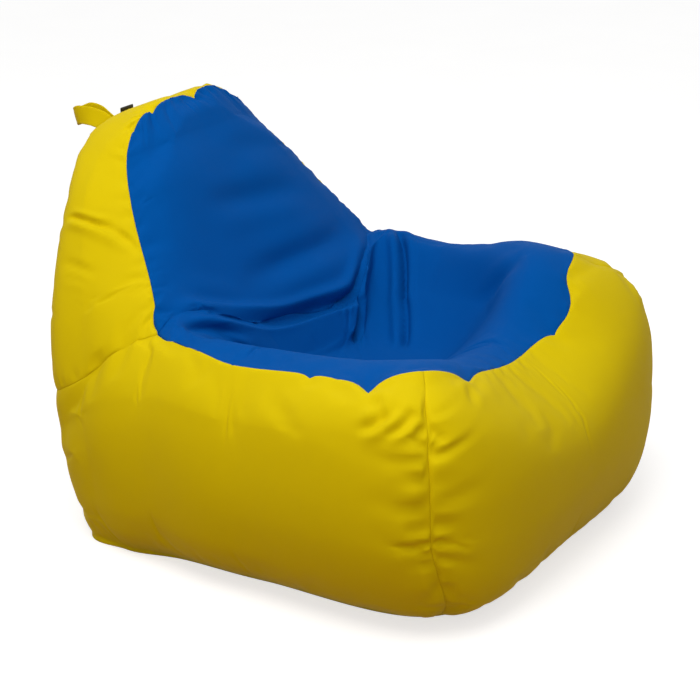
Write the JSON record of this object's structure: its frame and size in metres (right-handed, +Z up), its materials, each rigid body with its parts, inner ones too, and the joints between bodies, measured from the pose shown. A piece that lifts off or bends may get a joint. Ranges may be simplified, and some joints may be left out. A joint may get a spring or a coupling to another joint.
{
  "type": "bean bag chair",
  "caption": "Armchair-shaped bean bag with a blue seat and back, yellow stuffed sides, a carry loop, a zipped cover and a zipped liner full of loose beads.",
  "frame": {"origin": "on the floor under the seat, on the flat underside of the base panel", "axes": "+Z up, -Y the way the sitter faces, +X the sitter's left"},
  "size_m": [0.9568, 1.0877, 0.7799],
  "materials": {
    "blue_fabric": "plain woven polyester, slight sheen",
    "yellow_fabric": "plain woven polyester, slight sheen",
    "zip_tape": "woven zip tape",
    "zip_coil": "nylon coil",
    "zip_metal": "nickel-plated zinc",
    "black_ribbon": "plain satin ribbon",
    "white_liner": "thin woven lining",
    "white_zip": "nylon",
    "polystyrene_beads": "loose expanded beads"
  },
  "bodies": {
    "chair": {"back_front_panel": "blue_fabric", "seat_panel": "blue_fabric", "back_gusset": "yellow_fabric", "back_rear_panel": "yellow_fabric", "side_panel_left": "yellow_fabric", "side_panel_right": "yellow_fabric", "front_panel": "yellow_fabric", "rear_base_panel": "yellow_fabric", "base_panel": "yellow_fabric", "cover_zip_tape_upper": "zip_tape", "cover_zip_tape_lower": "zip_tape", "cover_zip_coil": "zip_coil", "cover_zip_stop_left": "zip_metal", "cover_zip_stop_right": "zip_metal", "handle_anchor_left": "yellow_fabric", "handle_anchor_right": "yellow_fabric", "seam_tab": "black_ribbon", "liner_bag": "white_liner", "liner_zip_well": "white_liner", "liner_zip_coil": "white_zip", "bead_fill": "polystyrene_beads"},
    "carry_loop": {"carry_handle": "yellow_fabric"},
    "cover_slider": {"cover_zip_slider": "zip_metal"},
    "slider_pull": {"cover_zip_pull": "zip_metal"},
    "liner_slider": {"liner_zip_slider": "white_zip"}
  },
  "joints": [
    {"name": "carry_loop_fold", "type": "hinge", "parent": "chair", "child": "carry_loop", "pos_m": [-0.091, 0.57, 0.736], "axis": [1, 0, 0], "range_deg": [-30, 30]},
    {"name": "cover_zip_slide", "type": "slide", "parent": "chair", "child": "cover_slider", "axis": [1, 0, 0], "range_m": [-0.306, 0]},
    {"name": "zip_pull_swing", "type": "hinge", "parent": "cover_slider", "child": "slider_pull", "pos_m": [0.153, 0.46562, 0.10775], "axis": [0, -0.3714, -0.9285], "range_deg": [0, 150]},
    {"name": "liner_zip_slide", "type": "slide", "parent": "chair", "child": "liner_slider", "axis": [1, 0, 0], "range_m": [-0.306, 0]}
  ]
}
